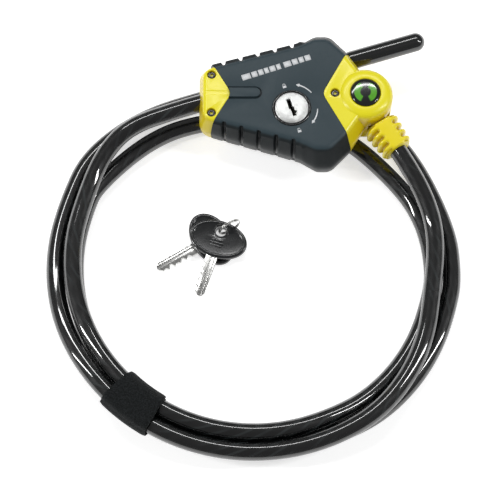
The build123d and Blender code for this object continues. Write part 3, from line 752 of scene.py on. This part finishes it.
# Screws: blacked steel, their heads sunk in recesses of the yellow ends and cut
# with a six-lobed socket. They run through to the chassis.
blacked = Finish("blacked_steel", (0.10, 0.10, 0.10), Metallic=1.0, Roughness=0.28)
blacked.feed("Roughness", 0.22 + blacked.noise(900.0) * 0.2)
blacked.bump(blacked.noise(1500.0), 0.00003)
socket_r, lobe_depth, lobe_count = 0.95, 0.22, 6
head_profile = [(2.3, 35.2), (2.3, 36.9), (2.1, 37.25), (1.6, 37.45), (0.2, 37.5)]
heads = []
for x, y in screw_spots:
    lobes_round = []
    for t in np.linspace(0, 2 * pi, 61)[:-1]:
        reach = socket_r + lobe_depth * cos(lobe_count * t)
        lobes_round.append((x + reach * cos(t), y + reach * sin(t)))
    head = drum("head", at_lock(x, y, 0).xy, head_profile, 40)
    heads.append(cut(head, ("DIFFERENCE", block("socket", lobes_round, 36.4, 39))))


def joined(name, meshes):
    """Several meshes as one."""
    bm = bmesh.new()
    for mesh in meshes:
        bm.from_mesh(mesh)
    done = bpy.data.meshes.new(name)
    bm.to_mesh(done)
    bm.free()
    done.shade_smooth()
    return done


left_heads = joined("left_end_screws", heads[:2])
soften(show("left_end_screws", left_heads, blacked, "lock", "screw_steel", "end_cap_screws"), 0.1)
soften(show("bracket_screw_head", heads[2], blacked, "lock", "screw_steel", "bracket_screw"), 0.1)

# Badge: a slightly domed black enamel disc with two plain green arcs, pressed into
# a seat in the top of the swivel housing.
badge = Finish("badge_enamel", (0.01, 0.012, 0.012), Roughness=0.16, Coat_Weight=0.8, Coat_Roughness=0.05)
badge_x, badge_y = badge.away_from(*pivot_at)
badge_r = (badge_x * badge_x + badge_y * badge_y).root()
sideways = (badge_x * badge_x).over(badge_r * badge_r + 0.0000001)
arcs = badge_r.step(0.0026, 0.0034) * (1 - badge_r.step(0.0060, 0.0065)) * sideways.step(0.12, 0.3)
arcs = arcs * (badge.noise(420.0) + 0.55)
badge.feed("Base Color", badge.blend(arcs, (0.006, 0.008, 0.008), (0.10, 0.40, 0.02)))
badge.bump(badge.noise(500.0), 0.00002, 0.4)
badge_profile = [(0.02, 38.65), (8.3, 38.65), (8.3, 39.3), (8.1, 39.75), (7.6, 40.0),
                 (6, 40.22), (4, 40.34), (2, 40.4), (0.02, 40.4)]
badge_mesh = drum("badge_disc", pivot_at, badge_profile)
show("badge_disc", badge_mesh, badge, "lock", "badge_plastic", "badge")

# Key cylinder: a glossy black plastic bezel round the turned, nickel-plated face of
# the plug. The stepped keyway is broached; its wards are set below the face and
# coloured near-black as painted shade in the keyway, though they are nickel.
gloss = Finish("black_gloss", (0.012, 0.013, 0.014), Roughness=0.2, Coat_Weight=0.4, Coat_Roughness=0.1)
gloss.feed("Roughness", 0.16 + gloss.noise(300.0) * 0.12)
gloss.bump(gloss.noise(900.0), 0.00003, 0.4)
bezel_profile = [(9.65, 36.2), (9.65, 38.75), (9.8, 39.0), (10.2, 39.05), (10.6, 38.9),
                 (10.78, 38.6), (10.78, 36.2)]
bezel_mesh = drum("cylinder_ring", cylinder_at, bezel_profile)
show("cylinder_ring", bezel_mesh, gloss, "lock", "black_plastic", "cylinder_bezel")

bright = Finish("bright_nickel", (0.72, 0.72, 0.71), Metallic=0.85, Roughness=0.34)
tool_marks = 26000
ax, ay = bright.away_from(*cylinder_at)
turned = ((ax * ax + ay * ay).root() * tool_marks).wave()
bright.feed("Roughness", 0.34 + turned * 0.05 + bright.noise(700.0) * 0.08)
bright.feed("Base Color", bright.blend(bright.noise(160.0), (0.56, 0.57, 0.56), (0.80, 0.81, 0.80)))
bright.bump(turned, 0.000012, 0.5)


def on_mech(u, v, z):
    """Point given from the cylinder's axis along and across the passage, in metres."""
    return at_lock(u * cos(slant) - v * sin(slant), u * sin(slant) + v * cos(slant) - cylinder_drop, z)


def bar_on_mech(u_low, u_high, v_low, v_high, low, high):
    """Upright bar set square to the passage."""
    flat = [(u_low, v_low), (u_high, v_low), (u_high, v_high), (u_low, v_high)]
    return skin("bar", [[on_mech(u, v, z) for u, v in flat] for z in (low, high)], smooth=False)


plug_profile = [(0.02, 18), (6.4, 18), (6.4, 36.5), (9.35, 36.5), (9.35, 38.65), (9.2, 38.95),
                (8.9, 39.1), (5.2, 39.12), (0.02, 39.12)]
plug_face = cut(
    drum("plug_face", cylinder_at, plug_profile),
    ("DIFFERENCE", bar_on_mech(-1.6, 0.75, -0.6, 5.4, 32, 41)),
    ("DIFFERENCE", bar_on_mech(-0.85, 1.25, -5.2, 0.2, 32, 41)),
    ("DIFFERENCE", bar_on_mech(-0.5, 2.0, -3.6, -2.2, 32, 41)),
)
soften(show("plug_face", plug_face, bright, "cylinder", "nickel", "keyway_plug"), 0.15)
# Painted shade: the wards get a near-black metal, so the keyway looks dark inside.
keyway_shade = Finish("keyway_painted_shade", (0.02, 0.018, 0.015), Roughness=0.5, Metallic=0.6)
keyway_shade.feed("Roughness", 0.45 + keyway_shade.noise(600.0) * 0.2)
ward_low, ward_high = 33, 37.9
ward = joined("keyway_ward", [bar_on_mech(-1.7, -0.75, 0.2, 5.3, ward_low, ward_high),
                              bar_on_mech(0.55, 1.4, -5.3, -0.4, ward_low, ward_high)])
show("keyway_ward", ward, keyway_shade, "cylinder", "nickel")

# Printed dial: white pad-printed ink on the front cover. Two arrows run round the
# cylinder between plain padlock signs, and a row of plain bars stands above.
print_ink = Finish("white_print", (0.78, 0.80, 0.82), Roughness=0.5)
print_ink.feed("Roughness", 0.45 + print_ink.noise(400.0) * 0.15)
print_z, ink_depth = 38.55, 0.3
dial_r = 14.4


def ink_strip(points, widths):
    """Thin flat stroke along points, in millimetres from the cylinder's axis."""
    rings = []
    for i, (x, y) in enumerate(points):
        nx, ny = points[min(i + 1, len(points) - 1)], points[max(i - 1, 0)]
        d = Vector((nx[0] - ny[0], nx[1] - ny[1])).normalized()
        side = Vector((-d.y, d.x)) * widths[i] / 2
        corners = ((1, print_z), (-1, print_z), (-1, print_z - ink_depth), (1, print_z - ink_depth))
        rings.append([at_lock(x + hand * side.x, y + hand * side.y - cylinder_drop, z) for hand, z in corners])
    return skin("ink", rings, smooth=False)


def arc_arrow(start, end, radius):
    """Curved arrow whose head is at end."""
    angles = np.linspace(start, end, 19)
    points = [(radius * cos(radians(a)), radius * sin(radians(a))) for a in angles]
    widths = [0.55 + 0.25 * k / 14 for k in range(15)] + [2.0, 1.4, 0.8, 0.1]
    return ink_strip(points, widths)


def padlock_sign(angle, radius, lifted):
    """Small padlock sign, its shackle open or shut."""
    strokes = []
    spin = radians(angle)
    centre = Vector((radius * cos(spin), radius * sin(spin)))
    up = Vector((-sin(slant), cos(slant)))
    right = Vector((cos(slant), sin(slant)))

    def at(x, y):
        return tuple(centre + right * x + up * y)

    strokes.append(ink_strip([at(0, -1.3), at(0, 0.1)], [2.0, 2.0]))
    shackle = [at(-0.4 if lifted else -0.65, 0.0), at(-0.65, 0.75), at(-0.35, 1.2),
               at(0.35, 1.2), at(0.65, 0.75)]
    if not lifted:
        shackle.append(at(0.65, 0.0))
    strokes.append(ink_strip(shackle, [0.32] * len(shackle)))
    return strokes


dial = [arc_arrow(40, 80, dial_r), arc_arrow(-2, -40, dial_r)]
dial += padlock_sign(107, 14.0, False) + padlock_sign(-73, 14.0, True)


bar_gap = 0.75


def mark_row(start, angle, widths, tall):
    """Row of plain bars of unlike widths; a negative width leaves a gap."""
    along = Vector((cos(radians(angle)), sin(radians(angle))))
    up = Vector((-along.y, along.x))
    place = 0.0
    bars = []
    for width in widths:
        low, high = place, place + abs(width)
        place = high + bar_gap
        if width < 0:
            continue
        flat = [Vector(start) + along * a + up * b
                for a, b in ((low, 0), (high, 0), (high, tall), (low, tall))]
        bars.append(block("bar", flat, print_z - ink_depth, print_z))
    return bars


bar_widths = [5.0, 3.2, 2.8, 2.4, 3.2, 2.4, -0.4, 4.2, 3.2, 2.8, 3.2]
dial += mark_row((-27.0, 7.6), 18.8, bar_widths, 3.4)
show("dial_print", joined("dial_print", dial), print_ink, "lock", "cover_plastic")

# Boot: a soft yellow sleeve moulded over the terminal. Four lobes on each side
# let it bend; a smooth panel runs along its top and bottom.
boot_start, boot_length, lobes = 16.3, 17.7, 4
boot_wide, boot_tall = (20.6, 17.3), (17.6, 15.2)
boot_rows, boot_around = 104, 88
lobe_sink, squareness = 2.3, 0.6
boot_rubber = Finish("boot_rubber", (0.88, 0.64, 0.0), Roughness=0.3, Coat_Weight=0.5, Coat_Roughness=0.12)
# Painted shade: the yellow turns dark gold down in the grooves between the lobes, read from the groove depth
# on the mesh, with a little random tone.
painted_groove_shade_mask = boot_rubber.node("ShaderNodeAttribute", {"attribute_name": "groove"}, {}, 2)
shade = painted_groove_shade_mask * 0.8 + boot_rubber.noise(120.0) * 0.15
boot_rubber.feed("Base Color", boot_rubber.blend(shade, (0.95, 0.80, 0.008), (0.46, 0.28, 0.0)))
boot_rubber.feed("Roughness", 0.26 + boot_rubber.noise(300.0) * 0.14)
boot_rubber.bump(boot_rubber.noise(1400.0, 2.0), 0.00005, 0.4)


def smooth(low, high, value):
    """0 below low, 1 above high, smooth between."""
    share = min(1, max(0, (value - low) / (high - low)))
    return share * share * (3 - 2 * share)


def rounded_square(half, part):
    """Place across a ring that is squarer than a circle."""
    return half * (1 if part > 0 else -1) * abs(part) ** squareness


def boot_rings():
    """Rings along the boot, and how deep each point lies in a groove."""
    rings, depths = [], []
    for row in range(boot_rows + 1):
        s = boot_length * row / boot_rows
        share = s / boot_length
        half_width = (boot_wide[0] + (boot_wide[1] - boot_wide[0]) * share) / 2
        half_height = (boot_tall[0] + (boot_tall[1] - boot_tall[0]) * share) / 2
        end = min(s, boot_length - s)
        trim = 1.1 * (1 - sqrt(max(0, 1 - (1 - min(1, end / 1.3)) ** 2)))
        groove = (0.5 + 0.5 * cos(2 * pi * s * lobes / boot_length)) ** 1.5
        if s < 0.4 or s > boot_length - 0.4:
            groove *= 0.3
        ring = []
        for j in range(boot_around):
            t = 2 * pi * j / boot_around
            x = rounded_square(half_width - trim, cos(t))
            z = rounded_square(half_height - trim, sin(t))
            sunk = groove * smooth(0.40, 0.62, abs(x) / half_width)
            scale = 1 - sunk * lobe_sink / half_width
            ring.append(off_pivot(boot_start + s, x * scale, z * scale))
            depths.append(sunk)
        rings.append(ring)
    return rings, depths


rings, depths = boot_rings()
boot_mesh = skin("boot_sleeve", rings)
# Groove depth on each point, which the boot's painted groove shade reads.
layer = boot_mesh.attributes.new(name="groove", type="FLOAT", domain="POINT")
layer.data.foreach_set("value", depths)
show("boot_sleeve", boot_mesh, boot_rubber, "swivel", "boot_rubber", "boot")

# Strap: hook-and-loop tape wound once round the three strands, its end pressed
# down over its start. It is cut from 27 mm tape.
strap_start, strap_end = -135.0, -120.0
tape = 1.3
felt = Finish("strap_felt", (0.008, 0.009, 0.010), Roughness=0.95, Specular_IOR_Level=0.2,
              Sheen_Weight=0.08, Sheen_Roughness=0.5)
fuzz = felt.noise(1500.0, 6.0)
felt.feed("Base Color", felt.blend(fuzz.step(0.35, 0.75), (0.003, 0.004, 0.004), (0.022, 0.025, 0.027)))
felt.feed("Roughness", 0.85 + fuzz * 0.15)
felt.bump(fuzz + felt.noise(420.0, 3.0) * 0.8, 0.0006, 0.9)
strands_at = [(5.3 + coil_shift, 15.5), (coil_shift, 6.6), (-5.3 + coil_shift, 15.5)]


def round_strands(angle, offset):
    """Place on the outline round the three strands, facing angle."""
    out = Vector((cos(angle), sin(angle)))
    far = max(strands_at, key=lambda at: Vector(at).dot(out))
    return Vector(far) + out * (cable_r + offset)


def strap_line():
    """Lateral place and height along the wound tape."""
    start, turns = radians(62), 2 * pi + radians(138)
    coarse = []
    for k in range(241):
        share = k / 240
        angle = start + turns * share
        lift = 0.72 + 1.35 * smooth(2 * pi - 0.5, 2 * pi + 0.1, turns * share)
        lift += 0.5 * smooth(0.96, 1.0, share)
        at = round_strands(angle, lift)
        coarse.append(Vector((at.x, at.y, 0)))
    return evenly(coarse, 0.0009 / MM)


def tape_mesh(name, line, across):
    """Tape along the line, from strap_start to strap_end round the coil."""
    random.seed(4)
    count = len(line)
    sides = []
    for i, at in enumerate(line):
        d = (line[min(i + 1, count - 1)] - line[max(i - 1, 0)]).normalized()
        sides.append(Vector((d.y, -d.x)))
    fray = [random.uniform(-0.10, 0.10) for _ in range(count)]
    grids = []
    for sign in (1, -1):
        grid = []
        for k in range(across + 1):
            share = k / across
            edge = (2 * share - 1)
            row = []
            for i, at in enumerate(line):
                angle = strap_start + (strap_end - strap_start) * share + fray[i] * edge * abs(edge)
                angle -= 0.7 * edge * smooth(0.86, 1.0, i / count)
                thin = tape / 2 * (0.55 if k in (0, across) else 1)
                place = Vector((at.x, at.y)) + sides[i] * thin * sign
                row.append(on_coil(angle, place.x, max(place.y, 0.05)))
            grid.append(row)
        grids.append(grid)
    verts = [p for grid in grids for row in grid for p in row]
    layer_size = (across + 1) * count
    faces = []
    for base in (0, layer_size):
        for k in range(across):
            for i in range(count - 1):
                a = base + k * count + i
                faces.append((a, a + 1, a + count + 1, a + count))
    for k in (0, across):
        for i in range(count - 1):
            a = k * count + i
            faces.append((a, a + 1, layer_size + a + 1, layer_size + a))
    for i in (0, count - 1):
        for k in range(across):
            a = k * count + i
            faces.append((a, a + count, layer_size + a + count, layer_size + a))
    mesh = outward(name, verts, faces)
    mesh.shade_smooth()
    mesh.set_sharp_from_angle(angle=radians(50))
    return mesh


tape_line = strap_line()
tape_length = sum((b - a).length for a, b in zip(tape_line, tape_line[1:])) * MM
strap = show("strap_tape", tape_mesh("strap_tape", tape_line, 16), felt, "lock", "strap_fabric", "strap")

# Keys: nickel-plated brass blades with moulded oval heads of glossy black plastic,
# both hung by a collared hole on one small split ring.
hole_x, hole_y = lock_x - 39.2, lock_y - 70.2
nickel = Finish("key_nickel", (0.62, 0.62, 0.60), Metallic=1.0, Roughness=0.26)
brushed = nickel.noise(420.0, 2.0)
nickel.feed("Base Color", nickel.blend(nickel.noise(90.0), (0.50, 0.50, 0.49), (0.78, 0.78, 0.76)))
nickel.feed("Roughness", 0.2 + brushed * 0.16)
nickel.bump(brushed, 0.00003, 0.6)
head_black = Finish("key_head_plastic", (0.008, 0.009, 0.010), Roughness=0.2, Coat_Weight=0.5,
                    Coat_Roughness=0.08)
head_black.feed("Roughness", 0.18 + head_black.noise(260.0) * 0.16)
head_black.bump(head_black.noise(900.0, 2.0), 0.00004, 0.5)


def key_point(along, x, y, z):
    """Point x along a key's blade from the ring hole and y to its left, in metres."""
    a, b = along
    return Vector(((hole_x + a * x - b * y) * MM, (hole_y + b * x + a * y) * MM, z * MM))


def oval(along, centre, half_x, half_y, z, count=96):
    """Ring of points round an oval that lies flat on a key."""
    turns = [2 * pi * k / count for k in range(count)]
    return [key_point(along, centre + half_x * cos(t), half_y * sin(t), z) for t in turns]


def key_block(name, along, flat, low, high):
    """Upright block between two heights over flat points given along a key."""
    return skin(name, [[key_point(along, x, y, z) for x, y in flat] for z in (low, high)], smooth=False)


head_thick, head_x, head_y = 3.0, 11, 16.5


def key_head(name, along, centre, low):
    """Oval head with a raised rim, a sunk field and three plain bars."""
    top = low + head_thick
    profile = [(9.0, low), (1.1, low), (0.35, low + 0.2), (0, low + 0.75), (0, top - 0.8),
               (0.3, top - 0.28), (0.8, top), (1.7, top), (2.1, top - 0.1), (2.4, top - 0.35),
               (9.0, top - 0.35)]
    rings = [oval(along, centre, head_x - inset, head_y - inset, z) for inset, z in profile]
    hole = skin("hole", [oval(along, 0, 3.2, 3.2, z, 40) for z in (low - 1, top + 1)], smooth=False)
    parts = [cut(skin(name, rings), ("DIFFERENCE", hole))]
    collar = [(3.22, low + 1), (3.22, top - 0.1), (3.5, top), (4.1, top), (4.4, top - 0.2), (4.4, low + 1)]
    parts.append(skin("collar", [oval(along, 0, r, r, z, 48) for r, z in collar], capped=False))
    for k in (-1, 0, 1):
        half = 4.2 - abs(k) * 0.9
        x = centre + 2.6 + 1.7 * k
        flat = [(x - 0.5, -half), (x + 0.5, -half), (x + 0.5, half), (x - 0.5, half)]
        parts.append(key_block("bar", along, flat, top - 1, top - 0.15))
    return joined(name, parts)


blade_thick, blade_root, cut_pitch = 2.0, 7.0, 3.7


def key_blade(name, along, reach, low, cuts, edge):
    """Blade with its bitting on one edge and a milled groove on each face."""
    points = [(blade_root, -3.3), (reach - 2.6, -3.3), (reach - 0.6, -2.1), (reach, -0.6), (reach - 0.4, 0.5)]
    x = reach - 3.6
    points.append((x + 0.9, 2.6))
    for depth in cuts:
        points += [(x, 3.2 - depth), (x - 1.0, 3.2 - depth), (x - 2.2, 3.25), (x - 2.7, 3.25)]
        x -= cut_pitch
    points += [(x + 0.6, 3.3), (blade_root, 3.3)]
    shape = key_block(name, along, [(p, q * edge) for p, q in points], low, low + blade_thick)
    tools = []
    for q, z in ((-0.55, low + 1.55), (-0.55, low - 0.45), (-2.15, low + 1.7)):
        wide = 0.75 if z < low + 1.6 else 0.45
        left, right = (q - wide) * edge, (q + wide) * edge
        flat = [(5.0, left), (reach - 0.2, left), (reach - 0.2, right), (5.0, right)]
        tools.append(("DIFFERENCE", key_block("groove", along, flat, z, z + 0.9)))
    return cut(shape, *tools)


keys = [("key_a", (-0.854, -0.519), 6.4, 1.9, 2.4, 41.4, (1.1, 2.1, 0.7, 1.7, 1.3), 1),
        ("key_b", (-0.321, -0.947), 5.0, 5.2, 5.7, 40.0, (1.6, 0.8, 2.0, 1.2, 0.6), -1)]
for key, along, centre, head_low, blade_low, reach, cuts, edge in keys:
    head = key_head(f"{key}_grip", along, centre, head_low)
    soften(show(f"{key}_grip", head, head_black, key, "black_plastic", f"{key}_head"), 0.12, 30)
    blade = key_blade(f"{key}_bit", along, reach, blade_low, cuts, edge)
    soften(show(f"{key}_bit", blade, nickel, key, "nickel", f"{key}_blade"), 0.1, 30)

# Split ring: spring steel wire, nickel plated, wound nearly twice round and stepped
# aside by one wire's thickness half way. It stands on edge through both heads.
ring_dir = (cos(radians(29)), sin(radians(29)))
ring_r, wire_r, ring_turns, ring_steps = 6.5, 0.42, 1.92, 240
ring_middle, ring_height = 5.4, 7.25
ring_line = []
for k in range(ring_steps + 1):
    t = 2 * pi * ring_turns * k / ring_steps
    aside = wire_r * (2 * smooth(0.44, 0.56, k / ring_steps) - 1)
    x = ring_middle + ring_r * cos(t)
    ring_line.append(key_point(ring_dir, x, aside, ring_height + ring_r * sin(t)))
show("split_ring", tube("split_ring", ring_line, wire_r * MM, 14), nickel, "ring", "nickel", "key_ring")

# Inner pieces: the die-cast chassis, brass cylinder, steel plates, pins, springs
# and screws keep their own shapes. Each gets its metal's colour and grain.
inner = {
    "zinc": ((0.34, 0.34, 0.33), 1.0, 0.5), "steel": ((0.55, 0.55, 0.54), 1.0, 0.3),
    "hard_steel": ((0.20, 0.20, 0.21), 1.0, 0.34), "brass": ((0.60, 0.42, 0.16), 1.0, 0.3),
    "nickel": ((0.62, 0.62, 0.60), 1.0, 0.26), "black_plastic": ((0.012, 0.012, 0.013), 0.0, 0.3),
    "screw_steel": ((0.16, 0.16, 0.16), 1.0, 0.35), "cable_vinyl": ((0.012, 0.013, 0.014), 0.0, 0.25),
}
inner_finish = {}
for slot, (tone, metal, rough) in inner.items():
    plain = Finish(f"inner_{slot}", tone, Metallic=metal, Roughness=rough)
    grain = plain.noise(600.0)
    darker, lighter = tuple(c * 0.8 for c in tone), tuple(min(1, c * 1.2) for c in tone)
    plain.feed("Base Color", plain.blend(grain, darker, lighter))
    plain.feed("Roughness", rough - 0.06 + grain * 0.14)
    plain.bump(grain, 0.00003, 0.5)
    inner_finish[slot] = plain.material
for row in frame["record"]["subparts"]:
    thing = frame["nodes"][row["node"]]
    if row["material_slot"] in inner_finish:
        for place in thing.material_slots:
            place.material = inner_finish[row["material_slot"]]
